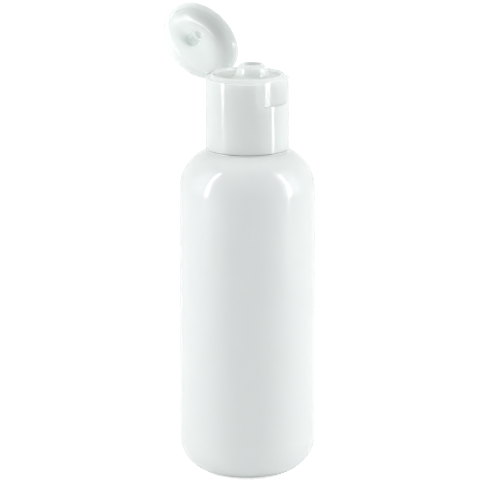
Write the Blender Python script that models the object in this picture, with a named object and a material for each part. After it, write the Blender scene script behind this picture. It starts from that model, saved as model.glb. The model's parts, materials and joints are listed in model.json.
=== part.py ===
# Flip-top squeeze bottle: a blow-moulded bottle with a screw closure whose lid stands open on
# its living hinge. Metres, +Z up. The origin is where the bottle's axis meets the plane that it
# stands on, the thumb notch faces -Y and the hinge is at +Y.

import math

import bmesh
import bpy
from mathutils import Matrix

MM = 0.001

# Bottle
BODY_RADIUS = 20.0 * MM
BODY_WALL = 0.8 * MM
BASE_CORNER_RADIUS = 11.1 * MM
BASE_RING_WIDTH = 1.8 * MM
BASE_PANEL_RECESS = 0.6 * MM
BASE_PANEL_WALL = 1.0 * MM
SHOULDER_START_HEIGHT = 84.75 * MM
SHOULDER_RADIUS = 12.45 * MM
NECK_RADIUS = 8.8 * MM
NECK_BORE_RADIUS = 6.9 * MM
NECK_FINISH_HEIGHT = 14.0 * MM
NECK_LAND_CHAMFER = 0.3 * MM

# Washer between the neck's land and the closure
SEAT_GAP = 0.3 * MM
WASHER_THICKNESS = 0.9 * MM
WASHER_RADIUS = 9.4 * MM
WASHER_BORE_RADIUS = 6.4 * MM

# Closure: the skirt and its ledge
SKIRT_RADIUS = 12.3 * MM
SKIRT_WALL = 2.0 * MM
SKIRT_HEIGHT = 21.0 * MM
SKIRT_OVERLAP = 0.24 * MM
SKIRT_EDGE_CHAMFER = 0.2 * MM
SKIRT_LEAD_IN = 0.5 * MM
SKIRT_CEILING_CHAMFER = 0.5 * MM

# Closure: the sloping collar, the sunk deck and the tube that presses on the washer
COLLAR_HEIGHT = 1.15 * MM
COLLAR_FOOT_RADIUS = 11.64 * MM
COLLAR_TOP_RADIUS = 10.6 * MM
COLLAR_LAND_WIDTH = 0.4 * MM
COLLAR_INNER_SLOPE = 0.45 * MM
DECK_RISE = 0.4 * MM
DECK_THICKNESS = 1.6 * MM
SEAL_TUBE_RADIUS = 7.9 * MM
SEAL_TUBE_WALL = 1.2 * MM

# Closure: the nozzle
NOZZLE_OFFSET = 2.0 * MM
NOZZLE_HEIGHT = 4.3 * MM
NOZZLE_TOP_RADIUS = 3.3 * MM
NOZZLE_LIP_CHAMFER = 0.2 * MM
NOZZLE_SHOULDER_RADIUS = 4.3 * MM
NOZZLE_SHOULDER_DROP = 0.9 * MM
NOZZLE_SHOULDER_ROUNDING = 0.5 * MM
NOZZLE_ROOT_RADIUS = 5.0 * MM
NOZZLE_FOOT_ROUNDING = 1.5 * MM
NOZZLE_SUNK_DEPTH = 0.5 * MM
ORIFICE_RADIUS = 2.4 * MM
ORIFICE_LENGTH = 2.4 * MM
ORIFICE_FLARE = 0.2 * MM
FUNNEL_RADIUS = 4.2 * MM

# Closure: the thumb notch
NOTCH_WIDTH = 12.9 * MM
NOTCH_HEIGHT = 7.15 * MM
NOTCH_CORNER_RADIUS = 3.0 * MM
NOTCH_DEPTH = 0.9 * MM
NOTCH_WALL_RADIUS = 25.0 * MM

# Hinge
HINGE_RADIUS = 11.65 * MM
HINGE_SETBACK = 0.2 * MM
HINGE_FACET_HEIGHT = 5.4 * MM
HINGE_PAD_THICKNESS = 0.85 * MM
HINGE_PAD_CLEARANCE = 0.3 * MM
HINGE_PAD_WIDTH = 8.8 * MM
FILM_WIDTH = 8.0 * MM
FILM_THICKNESS = 0.3 * MM
FILM_ANCHOR_HEIGHT = 0.45 * MM
FILM_GAP = 0.05 * MM
LID_OPEN_DEGREES = 128.0

# Lid, measured shut: heights from the ledge
LID_SEAT_GAP = 0.15 * MM
LID_RIM_RADIUS = 12.3 * MM
LID_RIM_CHAMFER = 0.2 * MM
LID_TAPER = 0.15 * MM
LID_DOME_RADIUS = 4.3 * MM
LID_HEIGHT = 6.2 * MM
LID_CROWN = 0.15 * MM
LID_WALL = 1.1 * MM
LID_LEAD_IN_WIDTH = 0.7 * MM
LID_LEAD_IN_HEIGHT = 1.2 * MM
LID_INNER_DOME_RADIUS = 2.7 * MM
LID_CEILING_THICKNESS = 1.1 * MM

# Plug in the lid's ceiling: a short tube whose end fits inside the orifice
PLUG_RADIUS = 1.9 * MM
PLUG_TIP_RADIUS = 1.7 * MM
PLUG_TAPER = 1.0 * MM
PLUG_BORE_RADIUS = 1.35 * MM
PLUG_BORE_DEPTH = 1.2 * MM
PLUG_REACH = 2.7 * MM
PLUG_ROOT_DEPTH = 0.4 * MM

# Facets
ROUND_SEGMENTS = 64
NOZZLE_SEGMENTS = 40
PLUG_SEGMENTS = 24
BODY_ARC_STEPS = 9
DOME_ARC_STEPS = 7
FOOT_ARC_STEPS = 5
SHOULDER_ARC_STEPS = 3
NOTCH_ARC_STEPS = 5
NOTCH_WALL_SEGMENTS = 120
FILM_ARC_STEPS = 6
MERGE_DISTANCE = 0.0001 * MM
CUT_OVERRUN = 2.0 * MM
SMOOTH_DEGREES = 32.0

# Derived places
corner_centre = (BODY_RADIUS - BASE_CORNER_RADIUS, BASE_CORNER_RADIUS)
shoulder_centre = (BODY_RADIUS - SHOULDER_RADIUS, SHOULDER_START_HEIGHT)
neck_root_angle = math.acos((NECK_RADIUS - shoulder_centre[0]) / SHOULDER_RADIUS)
neck_root_height = SHOULDER_START_HEIGHT + SHOULDER_RADIUS * math.sin(neck_root_angle)
land_height = neck_root_height + NECK_FINISH_HEIGHT
washer_base = land_height + SEAT_GAP
seal_tube_base = washer_base + WASHER_THICKNESS + SEAT_GAP
skirt_base = neck_root_height - SKIRT_OVERLAP
ledge_height = skirt_base + SKIRT_HEIGHT
deck_height = ledge_height + DECK_RISE
deck_underside = deck_height - DECK_THICKNESS
collar_top = ledge_height + COLLAR_HEIGHT
nozzle_top = ledge_height + NOZZLE_HEIGHT
hinge_flat = HINGE_RADIUS - HINGE_SETBACK
lid_ceiling = LID_HEIGHT - LID_CEILING_THICKNESS


def arc(centre, radius, start, end, steps):
    """Points on an arc in the (radius, height) plane, from start to end in radians."""
    turns = [start + (end - start) * step / steps for step in range(steps + 1)]
    return [
        (centre[0] + radius * math.cos(turn), centre[1] + radius * math.sin(turn))
        for turn in turns
    ]


def rounded_corner(before, corner, after, radius, steps):
    """Points on the arc that rounds the corner between two straight runs of an outline."""
    into = math.atan2(before[1] - corner[1], before[0] - corner[0])
    away = math.atan2(after[1] - corner[1], after[0] - corner[0])
    opening = (away - into) % math.tau
    middle = into + opening / 2
    if opening > math.pi:
        opening = math.tau - opening
        middle += math.pi
    reach = radius / math.sin(opening / 2)
    centre = (corner[0] + reach * math.cos(middle), corner[1] + reach * math.sin(middle))
    half_sweep = (math.pi - opening) / 2
    facing = middle + math.pi
    turn_in = math.sin(away - into) < 0
    start = facing - half_sweep if turn_in else facing + half_sweep
    end = facing + half_sweep if turn_in else facing - half_sweep
    return arc(centre, radius, start, end, steps)


def turned(name, outline, segments):
    """Mesh of an outline of (radius, height) points, spun round the Z axis."""
    on_axis = outline[0][0] == 0
    shape = bmesh.new()
    corners = [shape.verts.new((radius, 0, height)) for radius, height in outline]
    pairs = list(zip(corners, corners[1:]))
    if not on_axis:
        pairs.append((corners[-1], corners[0]))
    sides = [shape.edges.new(pair) for pair in pairs]
    bmesh.ops.spin(
        shape,
        geom=corners + sides,
        cent=(0, 0, 0),
        axis=(0, 0, 1),
        angle=math.tau,
        steps=segments,
        use_merge=True,
    )
    bmesh.ops.remove_doubles(shape, verts=shape.verts, dist=MERGE_DISTANCE)
    return finished(name, shape)


def extruded(name, outline, start, vector):
    """Mesh of a closed outline of points, moved to start and extruded along vector."""
    shape = bmesh.new()
    face = shape.faces.new([shape.verts.new(point) for point in outline])
    bmesh.ops.translate(shape, verts=shape.verts, vec=start)
    grown = bmesh.ops.extrude_face_region(shape, geom=[face])
    top = [item for item in grown["geom"] if isinstance(item, bmesh.types.BMVert)]
    bmesh.ops.translate(shape, verts=top, vec=vector)
    return finished(name, shape)


def finished(name, shape):
    bmesh.ops.recalc_face_normals(shape, faces=shape.faces)
    mesh = bpy.data.meshes.new(name)
    shape.to_mesh(mesh)
    shape.free()
    return mesh


def plastic(name, colour, roughness):
    material = bpy.data.materials.new(name)
    material.use_nodes = True
    shader = material.node_tree.nodes["Principled BSDF"]
    shader.inputs["Base Color"].default_value = (*colour, 1.0)
    shader.inputs["Roughness"].default_value = roughness
    shader.inputs["Metallic"].default_value = 0.0
    return material


def add_object(mesh, parent=None, place=(0, 0, 0)):
    item = bpy.data.objects.new(mesh.name, mesh)
    bpy.context.collection.objects.link(item)
    item.parent = parent
    item.location = place
    return item


def add_part(mesh, material, parent=None, place=(0, 0, 0)):
    mesh.shade_smooth()
    mesh.set_sharp_from_angle(angle=math.radians(SMOOTH_DEGREES))
    mesh.materials.append(material)
    return add_object(mesh, parent, place)


def add_tool(mesh, parent=None, place=(0, 0, 0)):
    tool = add_object(mesh, parent, place)
    tool.display_type = "WIRE"
    tool.hide_render = True
    return tool


def combine(target, operation, tool):
    step = target.modifiers.new(tool.name, "BOOLEAN")
    step.operation = operation
    step.object = tool
    step.solver = "EXACT"


def bottle_outline():
    ring_inner = corner_centre[0] - BASE_RING_WIDTH
    panel_radius = ring_inner - BASE_PANEL_RECESS
    outside = [(0, BASE_PANEL_RECESS), (panel_radius, BASE_PANEL_RECESS), (ring_inner, 0)]
    outside += arc(corner_centre, BASE_CORNER_RADIUS, -math.pi / 2, 0, BODY_ARC_STEPS)
    outside += arc(shoulder_centre, SHOULDER_RADIUS, 0, neck_root_angle, BODY_ARC_STEPS)
    land = [
        (NECK_RADIUS, land_height - NECK_LAND_CHAMFER),
        (NECK_RADIUS - NECK_LAND_CHAMFER, land_height),
        (NECK_BORE_RADIUS + NECK_LAND_CHAMFER, land_height),
        (NECK_BORE_RADIUS, land_height - NECK_LAND_CHAMFER),
        (NECK_BORE_RADIUS, neck_root_height),
    ]
    inner_shoulder = SHOULDER_RADIUS - BODY_WALL
    inner_corner = BASE_CORNER_RADIUS - BODY_WALL
    inside = arc(shoulder_centre, inner_shoulder, neck_root_angle, 0, BODY_ARC_STEPS)
    inside += arc(corner_centre, inner_corner, 0, -math.pi / 2, BODY_ARC_STEPS)
    floor = BASE_PANEL_RECESS + BASE_PANEL_WALL
    inside += [(panel_radius, floor), (0, floor)]
    return outside + land + inside


def washer_outline():
    top = washer_base + WASHER_THICKNESS
    return [
        (WASHER_BORE_RADIUS, washer_base),
        (WASHER_RADIUS, washer_base),
        (WASHER_RADIUS, top),
        (WASHER_BORE_RADIUS, top),
    ]


def closure_outline():
    bore = SKIRT_RADIUS - SKIRT_WALL
    collar_inner = COLLAR_TOP_RADIUS - COLLAR_LAND_WIDTH
    tube_inner = SEAL_TUBE_RADIUS - SEAL_TUBE_WALL
    top = [
        (0, deck_height),
        (collar_inner - COLLAR_INNER_SLOPE, deck_height),
        (collar_inner, collar_top),
        (COLLAR_TOP_RADIUS, collar_top),
        (COLLAR_FOOT_RADIUS, ledge_height),
        (SKIRT_RADIUS - SKIRT_EDGE_CHAMFER, ledge_height),
        (SKIRT_RADIUS, ledge_height - SKIRT_EDGE_CHAMFER),
    ]
    foot = [
        (SKIRT_RADIUS, skirt_base + SKIRT_EDGE_CHAMFER),
        (SKIRT_RADIUS - SKIRT_EDGE_CHAMFER, skirt_base),
        (bore + SKIRT_LEAD_IN, skirt_base),
        (bore, skirt_base + SKIRT_LEAD_IN),
    ]
    inside = [
        (bore, deck_underside - SKIRT_CEILING_CHAMFER),
        (bore - SKIRT_CEILING_CHAMFER, deck_underside),
        (SEAL_TUBE_RADIUS, deck_underside),
        (SEAL_TUBE_RADIUS, seal_tube_base),
        (tube_inner, seal_tube_base),
        (tube_inner, deck_underside),
        (0, deck_underside),
    ]
    return top + foot + inside


def nozzle_outline():
    """A stout nozzle: a hollow curve up from the deck, a near-upright wall and a sloping top."""
    below = deck_height - NOZZLE_SUNK_DEPTH
    root = (NOZZLE_ROOT_RADIUS, deck_height)
    shoulder = (NOZZLE_SHOULDER_RADIUS, nozzle_top - NOZZLE_SHOULDER_DROP)
    lip = (NOZZLE_TOP_RADIUS, nozzle_top - NOZZLE_LIP_CHAMFER)
    outside = (BODY_RADIUS, deck_height)
    foot = rounded_corner(outside, root, shoulder, NOZZLE_FOOT_ROUNDING, FOOT_ARC_STEPS)
    crest = rounded_corner(root, shoulder, lip, NOZZLE_SHOULDER_ROUNDING, SHOULDER_ARC_STEPS)
    top = [lip, (NOZZLE_TOP_RADIUS - NOZZLE_LIP_CHAMFER, nozzle_top), (0, nozzle_top)]
    return [(0, below), (foot[0][0], below)] + foot + crest + top


def channel_outline():
    """The way out: a funnel under the deck, then the orifice, then its flared mouth."""
    below = deck_underside - CUT_OVERRUN
    above = nozzle_top + CUT_OVERRUN
    flare_base = nozzle_top - ORIFICE_FLARE
    return [
        (0, below),
        (FUNNEL_RADIUS, below),
        (FUNNEL_RADIUS, deck_underside),
        (ORIFICE_RADIUS, nozzle_top - ORIFICE_LENGTH),
        (ORIFICE_RADIUS, flare_base),
        (ORIFICE_RADIUS + ORIFICE_FLARE, nozzle_top),
        (ORIFICE_RADIUS + ORIFICE_FLARE, above),
        (0, above),
    ]


def notch_tool():
    """A U-shaped prism less a wide cylinder, so that it leaves a wall flatter than the skirt."""
    half = NOTCH_WIDTH / 2
    floor = ledge_height - NOTCH_HEIGHT
    top = collar_top + CUT_OVERRUN
    left = (-half + NOTCH_CORNER_RADIUS, floor + NOTCH_CORNER_RADIUS)
    right = (half - NOTCH_CORNER_RADIUS, floor + NOTCH_CORNER_RADIUS)
    sides = arc(left, NOTCH_CORNER_RADIUS, math.pi, 1.5 * math.pi, NOTCH_ARC_STEPS)
    sides += arc(right, NOTCH_CORNER_RADIUS, 1.5 * math.pi, math.tau, NOTCH_ARC_STEPS)
    sides += [(half, top), (-half, top)]
    outline = [(across, 0, height) for across, height in sides]
    depth = SKIRT_RADIUS + CUT_OVERRUN
    prism = extruded("thumb_notch_tool", outline, (0, -depth, 0), (0, depth, 0))
    tool = add_tool(prism)
    bottom = floor - CUT_OVERRUN
    wall = NOTCH_WALL_RADIUS
    core = [(0, bottom), (wall, bottom), (wall, top + CUT_OVERRUN), (0, top + CUT_OVERRUN)]
    core_mesh = turned("notch_core_tool", core, NOTCH_WALL_SEGMENTS)
    core_place = (0, wall + NOTCH_DEPTH - SKIRT_RADIUS, 0)
    combine(tool, "DIFFERENCE", add_tool(core_mesh, place=core_place))
    return tool


def facet_tool():
    """Cuts the flat at the back of the skirt, with a sloping lower end that the lid clears."""
    low = ledge_height - HINGE_FACET_HEIGHT
    high = collar_top + CUT_OVERRUN
    reach = CUT_OVERRUN
    outline = [
        (0, hinge_flat, low),
        (0, hinge_flat + reach, low - reach),
        (0, hinge_flat + reach, high),
        (0, hinge_flat, high),
    ]
    half = HINGE_PAD_WIDTH
    return add_tool(extruded("hinge_facet_tool", outline, (-half, 0, 0), (2 * half, 0, 0)))


def collar_gap_tool():
    """Clears the collar where the lid's thick back wall comes down."""
    half = HINGE_PAD_WIDTH / 2 + HINGE_PAD_CLEARANCE
    front = hinge_flat - HINGE_PAD_THICKNESS - HINGE_PAD_CLEARANCE
    outline = [
        (-half, front, ledge_height),
        (half, front, ledge_height),
        (half, hinge_flat + CUT_OVERRUN, ledge_height),
        (-half, hinge_flat + CUT_OVERRUN, ledge_height),
    ]
    height = COLLAR_HEIGHT + CUT_OVERRUN
    return add_tool(extruded("collar_gap_tool", outline, (0, 0, 0), (0, 0, height)))


def lid_outside():
    side = LID_RIM_RADIUS - LID_TAPER
    centre = (side - LID_DOME_RADIUS, LID_HEIGHT - LID_DOME_RADIUS)
    points = [
        (LID_RIM_RADIUS - LID_RIM_CHAMFER, LID_SEAT_GAP),
        (LID_RIM_RADIUS, LID_SEAT_GAP + LID_RIM_CHAMFER),
    ]
    points += arc(centre, LID_DOME_RADIUS, 0, math.pi / 2, DOME_ARC_STEPS)
    points.append((0, LID_HEIGHT + LID_CROWN))
    return [(0, LID_SEAT_GAP)] + points


def lid_inside():
    side = LID_RIM_RADIUS - LID_TAPER - LID_WALL
    centre = (side - LID_INNER_DOME_RADIUS, lid_ceiling - LID_INNER_DOME_RADIUS)
    mouth = side + LID_LEAD_IN_WIDTH
    below = LID_SEAT_GAP - CUT_OVERRUN
    points = [
        (0, below),
        (mouth, below),
        (mouth, LID_SEAT_GAP),
        (side, LID_SEAT_GAP + LID_LEAD_IN_HEIGHT),
    ]
    points += arc(centre, LID_INNER_DOME_RADIUS, 0, math.pi / 2, DOME_ARC_STEPS)
    points.append((0, lid_ceiling))
    return points


def plug_outline():
    tip = NOZZLE_HEIGHT - PLUG_REACH
    bore_end = tip + PLUG_BORE_DEPTH
    root = lid_ceiling + PLUG_ROOT_DEPTH
    return [
        (0, bore_end),
        (PLUG_BORE_RADIUS, bore_end),
        (PLUG_BORE_RADIUS, tip),
        (PLUG_TIP_RADIUS, tip),
        (PLUG_RADIUS, tip + PLUG_TAPER),
        (PLUG_RADIUS, root),
        (0, root),
    ]


def from_hinge(mesh, y):
    """Moves a mesh that was turned about its own axis at y to the hinge's coordinates."""
    mesh.transform(Matrix.Translation((0, y - HINGE_RADIUS, 0)))
    return mesh


def lid_pad_mesh():
    """The straight, thick stretch of the lid's wall that the cavity leaves for the film."""
    half = HINGE_PAD_WIDTH / 2
    front = -HINGE_SETBACK - HINGE_PAD_THICKNESS
    outline = [
        (-half, front, -CUT_OVERRUN),
        (half, front, -CUT_OVERRUN),
        (half, CUT_OVERRUN, -CUT_OVERRUN),
        (-half, CUT_OVERRUN, -CUT_OVERRUN),
    ]
    height = LID_HEIGHT + 2 * CUT_OVERRUN
    return extruded("lid_pad_tool", outline, (0, 0, 0), (0, 0, height))


def lid_flat_mesh():
    """Cuts the lid's back flat, in line with the skirt's flat when the lid is shut."""
    half = HINGE_PAD_WIDTH
    back = -HINGE_SETBACK
    outline = [
        (-half, back, -CUT_OVERRUN),
        (half, back, -CUT_OVERRUN),
        (half, back + CUT_OVERRUN, -CUT_OVERRUN),
        (-half, back + CUT_OVERRUN, -CUT_OVERRUN),
    ]
    height = LID_HEIGHT + 2 * CUT_OVERRUN
    return extruded("lid_flat_tool", outline, (0, 0, 0), (0, 0, height))


def film_mesh():
    """The web at its open bend: it leaves the skirt level and ends square to the lid's back."""
    start = (HINGE_SETBACK - FILM_GAP, -FILM_ANCHOR_HEIGHT)
    opened = math.radians(LID_OPEN_DEGREES)
    end = (
        start[0] * math.cos(opened) + start[1] * math.sin(opened),
        start[0] * math.sin(opened) - start[1] * math.cos(opened),
    )
    bend = math.pi - opened
    chord = math.dist(start, end)
    radius = chord / (2 * math.sin(bend / 2))
    centre = (-start[0], start[1] + radius)
    swept = (-math.pi / 2, -math.pi / 2 + bend)
    outer = arc(centre, radius + FILM_THICKNESS / 2, *swept, FILM_ARC_STEPS)
    inner = arc(centre, radius - FILM_THICKNESS / 2, *swept, FILM_ARC_STEPS)
    outline = [(0, back, height) for back, height in outer + inner[::-1]]
    start_corner = (-FILM_WIDTH / 2, 0, 0)
    return extruded("living_hinge", outline, start_corner, (FILM_WIDTH, 0, 0))


def build_bottle():
    white = plastic("bottle_plastic", (0.90, 0.92, 0.91), 0.12)
    add_part(turned("bottle", bottle_outline(), ROUND_SEGMENTS), white)


def build_washer():
    foam = plastic("washer_foam", (0.93, 0.93, 0.91), 0.7)
    add_part(turned("sealing_washer", washer_outline(), ROUND_SEGMENTS), foam)


def build_closure(white):
    closure = add_part(turned("closure_base", closure_outline(), ROUND_SEGMENTS), white)
    nozzle = turned("nozzle_tool", nozzle_outline(), NOZZLE_SEGMENTS)
    channel = turned("channel_tool", channel_outline(), NOZZLE_SEGMENTS)
    nozzle_place = (0, -NOZZLE_OFFSET, 0)
    combine(closure, "UNION", add_tool(nozzle, place=nozzle_place))
    combine(closure, "DIFFERENCE", add_tool(channel, place=nozzle_place))
    combine(closure, "DIFFERENCE", notch_tool())
    combine(closure, "DIFFERENCE", facet_tool())
    combine(closure, "DIFFERENCE", collar_gap_tool())


def build_lid(white, hinge):
    outside = from_hinge(turned("flip_lid", lid_outside(), ROUND_SEGMENTS), 0)
    inside = from_hinge(turned("lid_cavity_tool", lid_inside(), ROUND_SEGMENTS), 0)
    plug = from_hinge(turned("plug_tool", plug_outline(), PLUG_SEGMENTS), -NOZZLE_OFFSET)
    cavity = add_tool(inside, hinge)
    combine(cavity, "DIFFERENCE", add_tool(lid_pad_mesh(), hinge))
    lid = add_part(outside, white, hinge)
    combine(lid, "DIFFERENCE", cavity)
    combine(lid, "UNION", add_tool(plug, hinge))
    combine(lid, "DIFFERENCE", add_tool(lid_flat_mesh(), hinge))


def main():
    for item in list(bpy.data.objects):
        bpy.data.objects.remove(item)
    white = plastic("closure_plastic", (0.91, 0.92, 0.92), 0.1)
    build_bottle()
    build_washer()
    build_closure(white)
    hinge_line = (0, HINGE_RADIUS, ledge_height)
    hinge = bpy.data.objects.new("lid_hinge_axis", None)
    bpy.context.collection.objects.link(hinge)
    hinge.location = hinge_line
    hinge.rotation_euler = (-math.radians(LID_OPEN_DEGREES), 0, 0)
    build_lid(white, hinge)
    add_part(film_mesh(), white, place=hinge_line)


main()
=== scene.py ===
# Glossy white flip-top squeeze bottle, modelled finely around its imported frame.
# Metres, +Z up. The thumb notch faces -Y and the living hinge is at +Y.
import json
import math

import bmesh
import bpy
from mathutils import Matrix, Vector


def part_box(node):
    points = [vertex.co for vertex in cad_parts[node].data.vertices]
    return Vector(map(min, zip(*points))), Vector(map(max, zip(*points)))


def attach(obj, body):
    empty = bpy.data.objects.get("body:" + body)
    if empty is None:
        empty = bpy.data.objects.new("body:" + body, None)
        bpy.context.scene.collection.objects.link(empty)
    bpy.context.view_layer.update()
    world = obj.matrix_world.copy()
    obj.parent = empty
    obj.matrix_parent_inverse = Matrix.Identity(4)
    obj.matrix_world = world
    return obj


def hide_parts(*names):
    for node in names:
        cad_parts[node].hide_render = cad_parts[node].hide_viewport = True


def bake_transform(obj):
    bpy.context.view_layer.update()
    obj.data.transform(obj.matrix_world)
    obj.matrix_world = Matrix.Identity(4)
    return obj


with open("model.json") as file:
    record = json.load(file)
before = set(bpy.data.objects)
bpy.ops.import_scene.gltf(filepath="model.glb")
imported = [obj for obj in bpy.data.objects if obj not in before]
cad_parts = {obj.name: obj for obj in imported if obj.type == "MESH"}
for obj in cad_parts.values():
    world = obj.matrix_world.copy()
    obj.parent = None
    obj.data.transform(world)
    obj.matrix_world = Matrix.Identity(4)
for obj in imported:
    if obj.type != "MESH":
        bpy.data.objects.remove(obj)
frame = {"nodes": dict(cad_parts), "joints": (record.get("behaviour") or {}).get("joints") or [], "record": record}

mm = 0.001
# How near a point has to be to count as on a face, and how far a cutter passes what it cuts.
near = 0.05 * mm
overrun = 2.0 * mm
scene = bpy.context.scene
scene.view_settings.view_transform = "Standard"

# What the frame fixes. The pieces below take their main sizes from it.
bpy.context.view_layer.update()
bottleLow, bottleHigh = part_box("bottle")
closureLow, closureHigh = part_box("closure_base")
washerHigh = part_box("sealing_washer")[1]
joints = {joint["name"]: joint for joint in frame["joints"]}
hingeLine = Vector(joints["lid_flip"]["pos_m"])
lidOpen = math.radians(-joints["lid_flip"]["range_deg"][0])
ledgeHeight = hingeLine.z
liftPerTurn = frame["record"]["behaviour"]["couplings"][0]["ratio"] * math.tau
print("frame loaded:", sorted(frame["nodes"]))


# Points on an arc, both ends included. Angles are in radians.
def arcPoints(centre, radius, start, end, steps):
    turns = [start + (end - start) * i / steps for i in range(steps + 1)]
    return [(centre[0] + radius * math.cos(t), centre[1] + radius * math.sin(t)) for t in turns]


# Corners are (radius, height, fillet). A fillet of 0 keeps the corner sharp.
def filleted(corners, stepDegrees=9):
    points = []
    count = len(corners)
    for i, (x, y, fillet) in enumerate(corners):
        here = Vector((x, y))
        if fillet == 0:
            points.append((x, y))
            continue
        toLast = (Vector(corners[i - 1][:2]) - here).normalized()
        toNext = (Vector(corners[(i + 1) % count][:2]) - here).normalized()
        half = toLast.angle(toNext) / 2
        centre = here + (toLast + toNext).normalized() * (fillet / math.sin(half))
        first = here + toLast * (fillet / math.tan(half)) - centre
        last = here + toNext * (fillet / math.tan(half)) - centre
        start = math.atan2(first.y, first.x)
        sweep = (math.atan2(last.y, last.x) - start + math.pi) % math.tau - math.pi
        steps = max(2, round(abs(math.degrees(sweep)) / stepDegrees))
        points += arcPoints(centre, fillet, start, start + sweep, steps)
    return points


def sharp(points):
    return [(x, y, 0) for x, y in points]


# Spins an outline round Z. An outline that starts on the axis also ends there.
def turnedMesh(name, outline, segments):
    onAxis = outline[0][0] == 0
    verts = []
    rings = []
    for radius, height in outline:
        if radius == 0:
            rings.append([len(verts)] * segments)
            verts.append((0, 0, height))
            continue
        rings.append(list(range(len(verts), len(verts) + segments)))
        for i in range(segments):
            turn = math.tau * i / segments
            verts.append((radius * math.cos(turn), radius * math.sin(turn), height))
    pairs = list(zip(rings, rings[1:]))
    if not onAxis:
        pairs.append((rings[-1], rings[0]))
    faces = []
    for low, high in pairs:
        for i in range(segments):
            j = (i + 1) % segments
            corners = [low[i], low[j], high[j], high[i]]
            faces.append(list(dict.fromkeys(corners)))
    mesh = bpy.data.meshes.new(name)
    mesh.from_pydata(verts, [], faces)
    return outward(mesh)


# Extrudes a closed outline of 3-D points along a vector.
def prismMesh(name, outline, vector):
    shape = bmesh.new()
    face = shape.faces.new([shape.verts.new(point) for point in outline])
    grown = bmesh.ops.extrude_face_region(shape, geom=[face])
    top = [item for item in grown["geom"] if isinstance(item, bmesh.types.BMVert)]
    bmesh.ops.translate(shape, verts=top, vec=vector)
    mesh = bpy.data.meshes.new(name)
    shape.to_mesh(mesh)
    shape.free()
    return outward(mesh)


# Welds doubled points and turns every face outward.
def outward(mesh):
    shape = bmesh.new()
    shape.from_mesh(mesh)
    bmesh.ops.remove_doubles(shape, verts=shape.verts, dist=0.0005 * mm)
    bmesh.ops.recalc_face_normals(shape, faces=shape.faces)
    shape.to_mesh(mesh)
    shape.free()
    return mesh


def placed(mesh):
    item = bpy.data.objects.new(mesh.name, mesh)
    scene.collection.objects.link(item)
    return item


# Applies booleans in order and leaves one plain mesh on the object. Steps are (operation, tool).
def carved(item, steps):
    for operation, tool in steps:
        cut = item.modifiers.new(tool.name, "BOOLEAN")
        cut.operation = operation
        cut.object = tool
        cut.solver = "EXACT"
    bakeModifiers(item)
    for operation, tool in steps:
        bpy.data.objects.remove(tool)
    return item


def bakeModifiers(item):
    bpy.context.view_layer.update()
    seen = item.evaluated_get(bpy.context.evaluated_depsgraph_get())
    plain = bpy.data.meshes.new_from_object(seen)
    item.modifiers.clear()
    item.data = plain
    plain.name = item.name
    return item


# Rounds the sharp edges whose middle passes the test.
def softened(mesh, width, passes, minDegrees=28, segments=2):
    shape = bmesh.new()
    shape.from_mesh(mesh)
    bmesh.ops.remove_doubles(shape, verts=shape.verts, dist=0.01 * mm)
    bmesh.ops.dissolve_degenerate(shape, edges=shape.edges, dist=0.005 * mm)
    picked = [
        edge for edge in shape.edges
        if len(edge.link_faces) == 2
        and math.degrees(edge.calc_face_angle(0)) > minDegrees
        and passes((edge.verts[0].co + edge.verts[1].co) / 2)
    ]
    bmesh.ops.bevel(
        shape, geom=picked, offset=width, segments=segments,
        profile=0.5, affect="EDGES", clamp_overlap=True,
    )
    bmesh.ops.recalc_face_normals(shape, faces=shape.faces)
    shape.to_mesh(mesh)
    shape.free()
    return mesh


def smoothed(mesh, degrees=32):
    mesh.shade_smooth()
    mesh.set_sharp_from_angle(angle=math.radians(degrees))
    return mesh


# Smooth shading in which large faces outweigh the small ones of a rounded edge beside them.
def polished(item, degrees=50):
    smoothed(item.data, degrees)
    weighting = item.modifiers.new("weighting", "WEIGHTED_NORMAL")
    weighting.mode = "FACE_AREA"
    weighting.keep_sharp = True
    return bakeModifiers(item)


# Gives a shorthand for the Math nodes of one tree. Its inputs are sockets or plain numbers.
def mathIn(tree):
    def calc(operation, first, second=0.0):
        node = tree.nodes.new("ShaderNodeMath")
        node.operation = operation
        for socket, value in zip(node.inputs, (first, second)):
            if isinstance(value, (int, float)):
                socket.default_value = value
            else:
                tree.links.new(value, socket)
        return node.outputs[0]

    return calc


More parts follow.
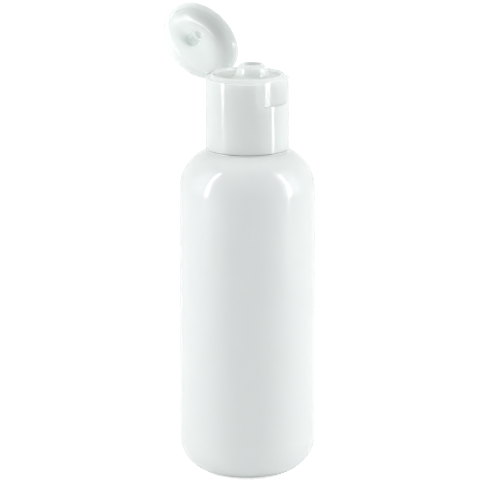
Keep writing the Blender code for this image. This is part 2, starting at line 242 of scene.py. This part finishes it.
# One skin for every moulded piece: a fine orange peel, slow waves in the wall and a faint
# unevenness in gloss and whiteness.
def buildPlasticSkin():
    group = bpy.data.node_groups.new("plasticSkin", "ShaderNodeTree")
    for name, value in (("Peel size", 0.6), ("Peel depth", 0.1), ("Wave size", 9.0),
                        ("Wave depth", 0.5), ("Gloss", 0.15), ("Gloss spread", 0.04)):
        socket = group.interface.new_socket(name, in_out="INPUT", socket_type="NodeSocketFloat")
        socket.default_value = value
    for name in ("Colour", "Second colour"):
        group.interface.new_socket(name, in_out="INPUT", socket_type="NodeSocketColor")
    group.interface.new_socket("Colour", in_out="OUTPUT", socket_type="NodeSocketColor")
    group.interface.new_socket("Roughness", in_out="OUTPUT", socket_type="NodeSocketFloat")
    group.interface.new_socket("Height", in_out="OUTPUT", socket_type="NodeSocketFloat")
    nodes, links = group.nodes, group.links
    calc = mathIn(group)
    given = nodes.new("NodeGroupInput")
    result = nodes.new("NodeGroupOutput")
    place = nodes.new("ShaderNodeTexCoord")

    def noise(sizeInMm, detail):
        node = nodes.new("ShaderNodeTexNoise")
        node.inputs["Detail"].default_value = detail
        links.new(place.outputs["Object"], node.inputs["Vector"])
        links.new(calc("DIVIDE", 1 / mm, sizeInMm), node.inputs["Scale"])
        return node.outputs["Fac"]

    peel = noise(given.outputs["Peel size"], detail=1.0)
    wave = noise(given.outputs["Wave size"], detail=2.0)
    peelHeight = calc("MULTIPLY", peel, given.outputs["Peel depth"])
    waveHeight = calc("MULTIPLY", wave, given.outputs["Wave depth"])
    links.new(calc("ADD", peelHeight, waveHeight), result.inputs["Height"])
    drift = calc("SUBTRACT", wave, 0.5)
    spread = calc("MULTIPLY", drift, given.outputs["Gloss spread"])
    links.new(calc("ADD", given.outputs["Gloss"], spread), result.inputs["Roughness"])
    # On a colour mix, inputs 6 and 7 are the two colours and output 2 is their mix.
    mix = nodes.new("ShaderNodeMix")
    mix.data_type = "RGBA"
    links.new(wave, mix.inputs["Factor"])
    links.new(given.outputs["Colour"], mix.inputs[6])
    links.new(given.outputs["Second colour"], mix.inputs[7])
    links.new(mix.outputs[2], result.inputs["Colour"])
    return group


plasticSkin = buildPlasticSkin()


def mouldedPlastic(name, colour, second, finish, bumpDistance=0.02 * mm, **fixed):
    material = bpy.data.materials.new(name)
    material.use_nodes = True
    nodes, links = material.node_tree.nodes, material.node_tree.links
    shader = nodes["Principled BSDF"]
    skin = nodes.new("ShaderNodeGroup")
    skin.node_tree = plasticSkin
    skin.inputs["Colour"].default_value = (*colour, 1)
    skin.inputs["Second colour"].default_value = (*second, 1)
    for socket, value in finish.items():
        skin.inputs[socket].default_value = value
    bump = nodes.new("ShaderNodeBump")
    bump.inputs["Strength"].default_value = 1.0
    bump.inputs["Distance"].default_value = bumpDistance
    links.new(skin.outputs["Height"], bump.inputs["Height"])
    links.new(skin.outputs["Colour"], shader.inputs["Base Color"])
    links.new(skin.outputs["Roughness"], shader.inputs["Roughness"])
    links.new(bump.outputs["Normal"], shader.inputs["Normal"])
    for socket, value in fixed.items():
        shader.inputs[socket].default_value = value
    return material


# Light passes a little way through both plastics, and a thin wall glows faintly from behind.
bottleMilk = {
    "Subsurface Weight": 0.6,
    "Subsurface Radius": (1.0, 1.0, 1.0),
    "Subsurface Scale": 1.8 * mm,
}
closureMilk = {
    "Subsurface Weight": 1.0,
    "Subsurface Radius": (1.0, 1.0, 1.0),
    "Subsurface Scale": 3.0 * mm,
}
bottleWhite = mouldedPlastic(
    "bottleWhite", (0.845, 0.895, 0.885), (0.865, 0.905, 0.90),
    {"Peel size": 0.9, "Peel depth": 0.06, "Wave size": 14.0, "Wave depth": 0.9,
     "Gloss": 0.11, "Gloss spread": 0.04},
    **bottleMilk,
)
closureWhite = mouldedPlastic(
    "closureWhite", (0.79, 0.845, 0.818), (0.805, 0.855, 0.832),
    {"Peel size": 0.5, "Peel depth": 0.03, "Wave size": 11.0, "Wave depth": 0.4,
     "Gloss": 0.09, "Gloss spread": 0.04},
    **closureMilk,
)
washerFoam = mouldedPlastic(
    "washerFoam", (0.86, 0.87, 0.85), (0.80, 0.81, 0.79),
    {"Peel size": 0.25, "Peel depth": 2.0, "Wave size": 1.2, "Wave depth": 1.0,
     "Gloss": 0.75, "Gloss spread": 0.2},
)
print("plastics ready")


bottle = {
    "segments": 192,
    "radius": bottleHigh.x,
    "wall": 0.8 * mm,
    "baseCorner": 11.1 * mm,
    "standRing": 1.8 * mm,
    "ringFillet": 0.35 * mm,
    "panelRecess": 0.6 * mm,
    "panelWall": 1.0 * mm,
    "panelFillet": 0.5 * mm,
    "shoulder": 12.45 * mm,
    "neckRadius": 8.8 * mm,
    "neckBore": 6.9 * mm,
    "finishHeight": 14.0 * mm,
    "rootFillet": 0.3 * mm,
    "innerRootFillet": 0.8 * mm,
    "landFillet": 0.3 * mm,
    "landingOuter": 12.15 * mm,
    "landingInner": 10.95 * mm,
    "landingFillet": 0.15 * mm,
}
bottle["land"] = bottleHigh.z
bottle["neckRoot"] = bottle["land"] - bottle["finishHeight"]
shoulderAngle = math.acos(
    (bottle["neckRadius"] - bottle["radius"] + bottle["shoulder"]) / bottle["shoulder"]
)
bottle["shoulderStart"] = bottle["neckRoot"] - bottle["shoulder"] * math.sin(shoulderAngle)


def bottleOutline(b):
    cornerCentre = (b["radius"] - b["baseCorner"], b["baseCorner"])
    shoulderCentre = (b["radius"] - b["shoulder"], b["shoulderStart"])
    ringInner = cornerCentre[0] - b["standRing"]
    panel = ringInner - b["panelRecess"]
    floor = b["panelRecess"] + b["panelWall"]
    innerShoulder = b["shoulder"] - b["wall"]
    innerCorner = b["baseCorner"] - b["wall"]
    quarter = math.pi / 2
    corners = [(0, b["panelRecess"], 0)]
    corners += [(panel, b["panelRecess"], b["panelFillet"]), (ringInner, 0, b["ringFillet"])]
    corners += sharp(arcPoints(cornerCentre, b["baseCorner"], -quarter, 0, steps=30))
    outerTurn, innerTurn = [
        math.acos((b[key] - shoulderCentre[0]) / b["shoulder"])
        for key in ("landingOuter", "landingInner")
    ]
    landing = shoulderCentre[1] + b["shoulder"] * math.sin(innerTurn)
    corners += sharp(arcPoints(shoulderCentre, b["shoulder"], 0, outerTurn, steps=28))
    corners.append((b["landingOuter"], landing, b["landingFillet"]))
    neckward = arcPoints(shoulderCentre, b["shoulder"], innerTurn, shoulderAngle, steps=4)
    corners += sharp(neckward[:-1])
    corners += [
        (b["neckRadius"], b["neckRoot"], b["rootFillet"]),
        (b["neckRadius"], b["land"], b["landFillet"]),
        (b["neckBore"], b["land"], b["landFillet"]),
        (b["neckBore"], b["neckRoot"], b["innerRootFillet"]),
    ]
    corners += sharp(arcPoints(shoulderCentre, innerShoulder, shoulderAngle, 0, steps=24))
    corners += sharp(arcPoints(cornerCentre, innerCorner, 0, -quarter, steps=24))
    corners += [(panel, floor, b["panelFillet"]), (0, floor, 0)]
    return filleted(corners)


def buildBottle():
    shell = placed(turnedMesh("bottleShell", bottleOutline(bottle), bottle["segments"]))
    polished(shell)
    shell.data.materials.append(bottleWhite)
    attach(shell, "bottle")
    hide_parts("bottle")


buildBottle()
print("bottle turned")


threadDetail = {
    "rounding": 0.18 * mm,
    "roundingSteps": 2,
    "slimmest": 0.02,
}


# A trapezoid swept along a helix round Z, fading out at both ends.
def buildThreadTree(d):
    tree = bpy.data.node_groups.new("screwThread", "GeometryNodeTree")
    for name in ("Radius", "Pitch", "Turns", "Start height", "Root width", "Crest width",
                 "Depth", "Fade turns"):
        tree.interface.new_socket(name, in_out="INPUT", socket_type="NodeSocketFloat")
    tree.interface.new_socket("Steps", in_out="INPUT", socket_type="NodeSocketInt")
    tree.interface.new_socket("Material", in_out="INPUT", socket_type="NodeSocketMaterial")
    tree.interface.new_socket("Geometry", in_out="OUTPUT", socket_type="NodeSocketGeometry")
    tree.is_modifier = True
    nodes, links = tree.nodes, tree.links
    calc = mathIn(tree)
    given = nodes.new("NodeGroupInput")
    result = nodes.new("NodeGroupOutput")
    line = nodes.new("GeometryNodeMeshLine")
    line.mode = "OFFSET"
    links.new(given.outputs["Steps"], line.inputs["Count"])
    index = nodes.new("GeometryNodeInputIndex").outputs[0]
    share = calc("DIVIDE", index, calc("SUBTRACT", given.outputs["Steps"], 1.0))
    turns = calc("MULTIPLY", share, given.outputs["Turns"])
    angle = calc("MULTIPLY", turns, math.tau)
    point = nodes.new("ShaderNodeCombineXYZ")
    links.new(calc("MULTIPLY", calc("COSINE", angle), given.outputs["Radius"]), point.inputs["X"])
    links.new(calc("MULTIPLY", calc("SINE", angle), given.outputs["Radius"]), point.inputs["Y"])
    climb = calc("MULTIPLY", turns, given.outputs["Pitch"])
    links.new(calc("ADD", climb, given.outputs["Start height"]), point.inputs["Z"])
    move = nodes.new("GeometryNodeSetPosition")
    links.new(line.outputs["Mesh"], move.inputs["Geometry"])
    links.new(point.outputs["Vector"], move.inputs["Position"])
    helix = nodes.new("GeometryNodeMeshToCurve")
    links.new(move.outputs["Geometry"], helix.inputs["Mesh"])
    upright = nodes.new("GeometryNodeSetCurveNormal")
    upright.mode = "Z_UP"
    links.new(helix.outputs["Curve"], upright.inputs["Curve"])
    left = calc("SUBTRACT", given.outputs["Turns"], turns)
    nearest = calc("MINIMUM", turns, left)
    fade = calc("DIVIDE", nearest, given.outputs["Fade turns"])
    size = calc("SQRT", calc("MAXIMUM", calc("MINIMUM", fade, 1.0), d["slimmest"]))
    section = nodes.new("GeometryNodeCurvePrimitiveQuadrilateral")
    section.mode = "TRAPEZOID"
    links.new(given.outputs["Depth"], section.inputs["Height"])
    links.new(given.outputs["Root width"], section.inputs["Bottom Width"])
    links.new(given.outputs["Crest width"], section.inputs["Top Width"])
    section.inputs["Offset"].default_value = 0.0
    turned = nodes.new("GeometryNodeTransform")
    turned.inputs["Rotation"].default_value = (0, 0, math.pi / 2)
    links.new(section.outputs["Curve"], turned.inputs["Geometry"])
    rounding = nodes.new("GeometryNodeFilletCurve")
    rounding.mode = "POLY"
    rounding.inputs["Count"].default_value = d["roundingSteps"]
    rounding.inputs["Limit Radius"].default_value = True
    rounding.inputs["Radius"].default_value = d["rounding"]
    links.new(turned.outputs["Geometry"], rounding.inputs["Curve"])
    sweep = nodes.new("GeometryNodeCurveToMesh")
    links.new(upright.outputs["Curve"], sweep.inputs["Curve"])
    links.new(rounding.outputs["Curve"], sweep.inputs["Profile Curve"])
    links.new(size, sweep.inputs["Scale"])
    sweep.inputs["Fill Caps"].default_value = True
    real = nodes.new("GeometryNodeRealizeInstances")
    links.new(sweep.outputs["Mesh"], real.inputs["Geometry"])
    dress = nodes.new("GeometryNodeSetMaterial")
    links.new(real.outputs["Geometry"], dress.inputs["Geometry"])
    links.new(given.outputs["Material"], dress.inputs["Material"])
    links.new(dress.outputs["Geometry"], result.inputs["Geometry"])
    return tree


threadTree = buildThreadTree(threadDetail)


def buildThread(name, body, values):
    item = placed(bpy.data.meshes.new(name))
    modifier = item.modifiers.new("thread", "NODES")
    modifier.node_group = threadTree
    for socket in threadTree.interface.items_tree:
        if socket.in_out == "INPUT":
            modifier[socket.identifier] = values[socket.name]
    bakeModifiers(item)
    outward(item.data)
    smoothed(item.data)
    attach(item, body)


thread = {
    "pitch": liftPerTurn,
    "turns": 1.5,
    "belowLand": 1.7 * mm,
    "neckDepth": 1.05 * mm,
    "closureDepth": 1.1 * mm,
    "sunk": 0.12 * mm,
}
threadTop = bottle["land"] - thread["belowLand"]
threadStart = threadTop - thread["turns"] * thread["pitch"]
neckThread = {
    "Radius": bottle["neckRadius"] + thread["neckDepth"] / 2 - thread["sunk"] / 2,
    "Pitch": thread["pitch"],
    "Turns": thread["turns"],
    "Start height": threadStart,
    "Root width": 2.0 * mm,
    "Crest width": 0.9 * mm,
    "Depth": thread["neckDepth"] + thread["sunk"],
    "Fade turns": 0.08,
    "Steps": 160,
    "Material": bottleWhite,
}
buildThread("neckThread", "bottle", neckThread)
print("neck thread swept")


closure = {
    "segments": 192,
    "radius": closureHigh.x,
    "base": closureLow.z,
    "ledge": ledgeHeight,
    "wall": 2.0 * mm,
    "leadIn": 0.5 * mm,
    "leadInFillet": 0.1 * mm,
    "boreFillet": 0.2 * mm,
    "rimFillet": 0.15 * mm,
    "collarHeight": 1.15 * mm,
    "collarFoot": 11.64 * mm,
    "collarTop": 10.6 * mm,
    "collarTopFillet": 0.16 * mm,
    "collarFillet": 0.12 * mm,
    "collarLand": 0.4 * mm,
    "collarSlope": 0.45 * mm,
    "deckRise": 0.4 * mm,
    "deckFillet": 0.25 * mm,
    "deckThickness": 1.6 * mm,
    "ceilingFillet": 0.5 * mm,
    "sealTube": 7.9 * mm,
    "sealTubeWall": 1.2 * mm,
    "tubeRootFillet": 0.2 * mm,
    "tubeTipFillet": 0.15 * mm,
    "sealGap": 0.3 * mm,
}
closure["deck"] = closure["ledge"] + closure["deckRise"]
closure["ceiling"] = closure["deck"] - closure["deckThickness"]
closure["collar"] = closure["ledge"] + closure["collarHeight"]
closure["bore"] = closure["radius"] - closure["wall"]

nozzle = {
    "segments": 96,
    "offset": 2.0 * mm,
    "top": closureHigh.z,
    "lip": 3.3 * mm,
    "lipFillet": 0.25 * mm,
    "shoulder": 4.3 * mm,
    "shoulderDrop": 0.9 * mm,
    "shoulderFillet": 0.5 * mm,
    "root": 5.0 * mm,
    "footFillet": 1.5 * mm,
    "foot": 6.3 * mm,
    "sunk": 0.5 * mm,
    "orifice": 2.4 * mm,
    "orificeLength": 2.4 * mm,
    "mouthFlare": 0.2 * mm,
    "channelFillet": 0.3 * mm,
    "funnel": 4.2 * mm,
}

notch = {
    "width": 12.9 * mm,
    "height": 7.15 * mm,
    "corner": 3.0 * mm,
    "depth": 0.9 * mm,
    "wallRadius": 25.0 * mm,
    "edge": 0.15 * mm,
    "edgeReach": 0.3 * mm,
    "inside": 0.45 * mm,
}

hinge = {
    "radius": hingeLine.y,
    "setback": 0.2 * mm,
    "facetHeight": 5.4 * mm,
    "padThickness": 0.85 * mm,
    "padClearance": 0.3 * mm,
    "padWidth": 8.8 * mm,
    "filmWidth": 8.0 * mm,
    "filmThickness": 0.3 * mm,
    "anchor": 0.45 * mm,
    "gap": 0.05 * mm,
    "rootSink": 0.12 * mm,
    "webSteps": 16,
    "webFlare": 0.7,
    "webEdge": 0.05 * mm,
}
hinge["flat"] = hinge["radius"] - hinge["setback"]


def closureOutline(c):
    collarInner = c["collarTop"] - c["collarLand"]
    tubeInner = c["sealTube"] - c["sealTubeWall"]
    tubeBase = washerHigh.z + c["sealGap"]
    return filleted([
        (0, c["deck"], 0),
        (collarInner - c["collarSlope"], c["deck"], c["deckFillet"]),
        (collarInner, c["collar"], c["collarFillet"]),
        (c["collarTop"], c["collar"], c["collarTopFillet"]),
        (c["collarFoot"], c["ledge"], c["collarFillet"]),
        (c["radius"], c["ledge"], c["rimFillet"]),
        (c["radius"], c["base"], c["rimFillet"]),
        (c["bore"] + c["leadIn"], c["base"], c["leadInFillet"]),
        (c["bore"], c["base"] + c["leadIn"], c["boreFillet"]),
        (c["bore"], c["ceiling"], c["ceilingFillet"]),
        (c["sealTube"], c["ceiling"], c["tubeRootFillet"]),
        (c["sealTube"], tubeBase, c["tubeTipFillet"]),
        (tubeInner, tubeBase, c["tubeTipFillet"]),
        (tubeInner, c["ceiling"], c["tubeRootFillet"]),
        (0, c["ceiling"], 0),
    ], stepDegrees=15)


def nozzleOutline(c, n):
    return filleted([
        (0, c["deck"] - n["sunk"], 0),
        (n["foot"], c["deck"] - n["sunk"], 0),
        (n["foot"], c["deck"], 0),
        (n["root"], c["deck"], n["footFillet"]),
        (n["shoulder"], n["top"] - n["shoulderDrop"], n["shoulderFillet"]),
        (n["lip"], n["top"], n["lipFillet"]),
        (0, n["top"], 0),
    ], stepDegrees=7)


def channelOutline(c, n):
    top = n["top"]
    return filleted([
        (0, c["ceiling"] - overrun, 0),
        (n["funnel"], c["ceiling"] - overrun, 0),
        (n["funnel"], c["ceiling"], 0),
        (n["orifice"], top - n["orificeLength"], n["channelFillet"]),
        (n["orifice"], top - n["mouthFlare"], n["channelFillet"]),
        (n["orifice"] + n["mouthFlare"], top, 0),
        (n["orifice"] + n["mouthFlare"], top + overrun, 0),
        (0, top + overrun, 0),
    ])


# A prism of the notch's outline less a wide drum, which leaves the notch its shallow curved wall.
def notchTool(c, k):
    half = k["width"] / 2
    floor = c["ledge"] - k["height"]
    top = c["collar"] + overrun
    outline = filleted([
        (-half, floor, k["corner"]), (half, floor, k["corner"]), (half, top, 0), (-half, top, 0),
    ], stepDegrees=7)
    depth = c["radius"] + overrun
    prism = prismMesh("notchTool", [(x, -depth, z) for x, z in outline], (0, depth, 0))
    wall = k["wallRadius"]
    low, high = floor - overrun, top + overrun
    drum = turnedMesh("drum", [(0, low), (wall, low), (wall, high), (0, high)], 2 * c["segments"])
    drum.transform(Matrix.Translation((0, wall - c["radius"] + k["depth"], 0)))
    tool = carved(placed(prism), [("DIFFERENCE", placed(drum))])

    def atWall(point):
        reach = math.hypot(point.x, point.y - wall + c["radius"] - k["depth"])
        return abs(reach - wall) < near and point.z < c["ledge"]

    softened(tool.data, k["inside"], atWall, segments=4)
    return tool


def facetTool(c, h):
    low = c["ledge"] - h["facetHeight"]
    high = c["collar"] + overrun
    half = h["padWidth"]
    outline = [
        (-half, h["flat"], low),
        (-half, h["flat"] + overrun, low - overrun),
        (-half, h["flat"] + overrun, high),
        (-half, h["flat"], high),
    ]
    return placed(prismMesh("facetTool", outline, (2 * half, 0, 0)))


def collarGapTool(c, h):
    half = h["padWidth"] / 2 + h["padClearance"]
    front = h["flat"] - h["padThickness"] - h["padClearance"]
    back = h["flat"] + overrun
    outline = [(-half, front), (half, front), (half, back), (-half, back)]
    outline = [(x, y, c["ledge"]) for x, y in outline]
    return placed(prismMesh("collarGapTool", outline, (0, 0, c["collarHeight"] + overrun)))


def buildClosure():
    shell = placed(turnedMesh("closureShell", closureOutline(closure), closure["segments"]))
    spout = turnedMesh("spout", nozzleOutline(closure, nozzle), nozzle["segments"])
    channel = turnedMesh("channel", channelOutline(closure, nozzle), nozzle["segments"])
    for mesh in (spout, channel):
        mesh.transform(Matrix.Translation((0, -nozzle["offset"], 0)))
    carved(shell, [
        ("UNION", placed(spout)),
        ("DIFFERENCE", placed(channel)),
        ("DIFFERENCE", notchTool(closure, notch)),
        ("DIFFERENCE", facetTool(closure, hinge)),
        ("DIFFERENCE", collarGapTool(closure, hinge)),
    ])
    edgeRadius = closure["collarTop"] - notch["edgeReach"]
    lowest = closure["ledge"] - notch["height"] - overrun

    def cutEdge(point):
        across = math.hypot(point.x, point.y)
        return point.z > lowest and across > edgeRadius

    softened(shell.data, notch["edge"], cutEdge)
    polished(shell)
    shell.data.materials.clear()
    shell.data.materials.append(closureWhite)
    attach(shell, "closure")
    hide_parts("closure_base")


buildClosure()
skirtThread = dict(neckThread)
skirtThread.update({
    "Radius": closure["bore"] - thread["closureDepth"] / 2 + thread["sunk"] / 2,
    "Start height": threadStart - thread["pitch"] / 2,
    "Root width": 0.7 * mm,
    "Crest width": 1.6 * mm,
    "Depth": thread["closureDepth"] + thread["sunk"],
    "Material": closureWhite,
})
buildThread("skirtThread", "closure", skirtThread)
print("closure carved")


# Heights are from the ledge with the lid shut. The mesh is then swung open about the hinge line.
lid = {
    "segments": 192,
    "seatGap": 0.15 * mm,
    "rim": 12.3 * mm,
    "rimFillet": 0.2 * mm,
    "rimReach": 0.7 * mm,
    "edge": 0.1 * mm,
    "taper": 0.15 * mm,
    "dome": 4.3 * mm,
    "height": 6.2 * mm,
    "crown": 0.15 * mm,
    "wall": 1.1 * mm,
    "leadInWidth": 0.7 * mm,
    "leadInHeight": 1.2 * mm,
    "leadInFillet": 0.4 * mm,
    "innerDome": 2.7 * mm,
    "ceilingThickness": 1.1 * mm,
    "plugSegments": 64,
    "plug": 1.9 * mm,
    "plugTip": 1.7 * mm,
    "plugTipFillet": 0.15 * mm,
    "plugTaper": 1.0 * mm,
    "plugTaperFillet": 0.4 * mm,
    "plugBore": 1.35 * mm,
    "plugBoreDepth": 1.2 * mm,
    "plugBoreFillet": 0.2 * mm,
    "plugMouthFillet": 0.12 * mm,
    "plugReach": 2.7 * mm,
    "plugRoot": 0.4 * mm,
}
lid["ceiling"] = lid["height"] - lid["ceilingThickness"]


def lidOutside(v):
    side = v["rim"] - v["taper"]
    centre = (side - v["dome"], v["height"] - v["dome"])
    corners = [(0, v["seatGap"], 0), (v["rim"], v["seatGap"], v["rimFillet"])]
    corners += sharp(arcPoints(centre, v["dome"], 0, math.pi / 2, steps=20))
    return filleted(corners + [(0, v["height"] + v["crown"], 0)])


def lidInside(v):
    side = v["rim"] - v["taper"] - v["wall"]
    centre = (side - v["innerDome"], v["ceiling"] - v["innerDome"])
    corners = [
        (0, v["seatGap"] - overrun, 0),
        (side + v["leadInWidth"], v["seatGap"] - overrun, 0),
        (side + v["leadInWidth"], v["seatGap"], 0),
        (side, v["seatGap"] + v["leadInHeight"], v["leadInFillet"]),
    ]
    corners += sharp(arcPoints(centre, v["innerDome"], 0, math.pi / 2, steps=16))
    return filleted(corners + [(0, v["ceiling"], 0)])


def plugOutline(v, n):
    lip = n["top"] - ledgeHeight
    tip = lip - v["plugReach"]
    root = v["ceiling"] + v["plugRoot"]
    return filleted([
        (0, tip + v["plugBoreDepth"], 0),
        (v["plugBore"], tip + v["plugBoreDepth"], v["plugBoreFillet"]),
        (v["plugBore"], tip, v["plugMouthFillet"]),
        (v["plugTip"], tip, v["plugTipFillet"]),
        (v["plug"], tip + v["plugTaper"], v["plugTaperFillet"]),
        (v["plug"], root, 0),
        (0, root, 0),
    ], stepDegrees=15)


def lidBox(name, front, back, half, v):
    outline = [(-half, front), (half, front), (half, back), (-half, back)]
    outline = [(x, y, -overrun) for x, y in outline]
    return placed(prismMesh(name, outline, (0, 0, v["height"] + 2 * overrun)))


def buildLid():
    shell = placed(turnedMesh("lidShell", lidOutside(lid), lid["segments"]))
    cavity = placed(turnedMesh("cavity", lidInside(lid), lid["segments"]))
    plug = turnedMesh("plug", plugOutline(lid, nozzle), lid["plugSegments"])
    plug.transform(Matrix.Translation((0, -nozzle["offset"], 0)))
    padFront = hinge["flat"] - hinge["padThickness"]
    far = hinge["radius"] + overrun
    pad = lidBox("pad", padFront, far, hinge["padWidth"] / 2, lid)
    carved(cavity, [("DIFFERENCE", pad)])
    carved(shell, [
        ("DIFFERENCE", cavity),
        ("UNION", placed(plug)),
        ("DIFFERENCE", lidBox("backFlat", hinge["flat"], far, hinge["padWidth"], lid)),
    ])

    inner = lid["rim"] - lid["wall"] - lid["taper"] - lid["rimReach"]

    def rimEdge(point):
        onRim = point.z < lid["seatGap"] + near and math.hypot(point.x, point.y) > inner
        atBack = point.y > padFront - near
        return onRim or atBack

    softened(shell.data, lid["edge"], rimEdge)
    swing = (
        Matrix.Translation(hingeLine)
        @ Matrix.Rotation(-lidOpen, 4, "X")
        @ Matrix.Translation((0, -hinge["radius"], 0))
    )
    shell.data.transform(swing)
    polished(shell)
    shell.data.materials.clear()
    shell.data.materials.append(closureWhite)
    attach(shell, "lid")
    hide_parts("flip_lid")


buildLid()
print("lid carved and swung open")


# The web leaves the skirt's flat level and ends square to the lid's back. Its ends thicken into
# both walls.
def buildHingeWeb(h):
    start = Vector((h["setback"] - h["gap"] + h["rootSink"], -h["anchor"]))
    cosine, sine = math.cos(lidOpen), math.sin(lidOpen)
    end = Vector((start.x * cosine + start.y * sine, start.x * sine - start.y * cosine))
    bend = math.pi - lidOpen
    radius = (end - start).length / (2 * math.sin(bend / 2))
    centre = Vector((-start.x, start.y + radius))

    def onBend(reach, turn):
        return (centre.x + reach * math.cos(turn), centre.y + reach * math.sin(turn))

    outer = []
    inner = []
    for i in range(h["webSteps"] + 1):
        share = i / h["webSteps"]
        turn = -math.pi / 2 + bend * share
        flare = 1 + h["webFlare"] * abs(2 * share - 1) ** 3
        half = h["filmThickness"] / 2 * flare
        outer.append(onBend(radius + half, turn))
        inner.append(onBend(radius - half, turn))
    outline = outer + inner[::-1]
    side = h["filmWidth"] / 2
    mesh = prismMesh("hingeWeb", [(-side, y, z) for y, z in outline], (h["filmWidth"], 0, 0))
    softened(mesh, h["webEdge"], lambda point: abs(abs(point.x) - side) < near)
    mesh.transform(Matrix.Translation(hingeLine))
    web = placed(smoothed(mesh))
    mesh.materials.append(closureWhite)
    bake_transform(web)
    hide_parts("living_hinge")


buildHingeWeb(hinge)
washer = frame["nodes"]["sealing_washer"]
washer.data.materials.clear()
washer.data.materials.append(washerFoam)
print("hinge and washer done")


# Fitted to the photograph. The centre is where the target lies in it, in pixels.
view = {
    "azimuth": -43.0,
    "elevation": 12.0,
    "distance": 2.09,
    "targetHeight": 62.7 * mm,
    "pixelsPerMm": 3.406,
    "frame": 480,
    "centreX": 247.4,
    "centreY": 261.9,
    "sensor": 36.0,
    "farthest": 20.0,
}


# A point round the bottle. Degrees count from the camera's side, positive to its right.
def aroundCamera(degrees, distance, height):
    turn = math.radians(view["azimuth"] + degrees)
    return Vector((math.sin(turn) * distance, -math.cos(turn) * distance, height))


def buildCamera(v):
    lens = bpy.data.cameras.new("photoCamera")
    camera = bpy.data.objects.new("photoCamera", lens)
    scene.collection.objects.link(camera)
    scene.camera = camera
    target = Vector((0, 0, v["targetHeight"]))
    rise = math.radians(v["elevation"])
    away = aroundCamera(0, math.cos(rise), math.sin(rise))
    camera.location = target + away * v["distance"]
    camera.rotation_euler = (-away).to_track_quat("-Z", "Y").to_euler()
    lens.sensor_width = v["sensor"]
    lens.lens = v["pixelsPerMm"] / mm * v["distance"] / v["frame"] * v["sensor"]
    lens.shift_x = -(v["centreX"] - v["frame"] / 2) / v["frame"]
    lens.shift_y = (v["centreY"] - v["frame"] / 2) / v["frame"]
    lens.clip_end = v["farthest"]


# A lamp that faces down. Radiance 1 is as bright as white paper.
def areaLamp(name, width, length, radiance, location):
    lamp = bpy.data.lights.new(name, "AREA")
    lamp.shape = "RECTANGLE"
    lamp.size = width
    lamp.size_y = length
    lamp.energy = radiance * math.pi * width * length
    item = bpy.data.objects.new(name, lamp)
    scene.collection.objects.link(item)
    item.location = location
    return item


# An upright lamp that faces the bottle's axis.
def panelLamp(name, degrees, distance, width, bottom, top, radiance):
    location = aroundCamera(degrees, distance, (bottom + top) / 2)
    item = areaLamp(name, width, top - bottom, radiance, location)
    inward = -aroundCamera(degrees, 1, 0)
    item.rotation_euler = inward.to_track_quat("-Z", "Y").to_euler()


def buildWorld(ambient, white):
    world = bpy.data.worlds.new("paleStudio")
    scene.world = world
    world.use_nodes = True
    nodes, links = world.node_tree.nodes, world.node_tree.links
    background = nodes["Background"]
    background.inputs["Color"].default_value = (1, 1, 1, 1)
    calc = mathIn(world.node_tree)
    rays = nodes.new("ShaderNodeLightPath").outputs
    through = calc("MAXIMUM", rays["Is Camera Ray"], rays["Is Transmission Ray"])
    level = nodes.new("ShaderNodeMapRange")
    level.inputs["To Min"].default_value = ambient
    level.inputs["To Max"].default_value = white
    links.new(calc("MAXIMUM", through, rays["Is Glossy Ray"]), level.inputs["Value"])
    links.new(level.outputs["Result"], background.inputs["Strength"])


paleFloor = {
    "radius": 4.0,
    "sides": 64,
    "colour": (0.93, 0.935, 0.935),
    "roughness": 0.6,
    "specular": 0.2,
    "lift": 0.66,
    "mirroredLift": 0.5,
}


# The floor is lifted to white for the camera, and by a part of that in reflections.
def buildFloor(f):
    mesh = bpy.data.meshes.new("paleFloor")
    rim = arcPoints((0, 0), f["radius"], 0, math.tau, f["sides"])[:-1]
    mesh.from_pydata([(x, y, bottleLow.z) for x, y in rim], [], [list(range(f["sides"]))])
    floor = placed(mesh)
    material = bpy.data.materials.new("paleFloor")
    material.use_nodes = True
    nodes, links = material.node_tree.nodes, material.node_tree.links
    shader = nodes["Principled BSDF"]
    shader.inputs["Base Color"].default_value = (*f["colour"], 1)
    shader.inputs["Roughness"].default_value = f["roughness"]
    shader.inputs["Specular IOR Level"].default_value = f["specular"]
    shader.inputs["Emission Color"].default_value = (1, 1, 1, 1)
    calc = mathIn(material.node_tree)
    rays = nodes.new("ShaderNodeLightPath").outputs
    through = calc("MAXIMUM", rays["Is Camera Ray"], rays["Is Transmission Ray"])
    mirrored = calc("MULTIPLY", rays["Is Glossy Ray"], f["mirroredLift"])
    strength = calc("MULTIPLY", calc("MAXIMUM", through, mirrored), f["lift"])
    links.new(strength, shader.inputs["Emission Strength"])
    mesh.materials.append(material)


buildCamera(view)
buildWorld(ambient=0.33, white=1.0)
buildFloor(paleFloor)
# The strips give the thin bright lines, and the walls give the pale sides.
panelLamp("leftStrip", degrees=-71, distance=0.535, width=0.08, bottom=0.01, top=0.80, radiance=7.0)
panelLamp("rightStrip", degrees=74, distance=0.45, width=0.06, bottom=0.004, top=0.68, radiance=5.5)
panelLamp("leftWall", degrees=-82, distance=1.4, width=1.0, bottom=0.0, top=1.6, radiance=1.36)
panelLamp("rightWall", degrees=82, distance=1.4, width=1.0, bottom=0.0, top=1.6, radiance=1.89)
areaLamp("overhead", width=1.6, length=1.6, radiance=0.63, location=(0, 0, 1.6))
print("camera and light set")
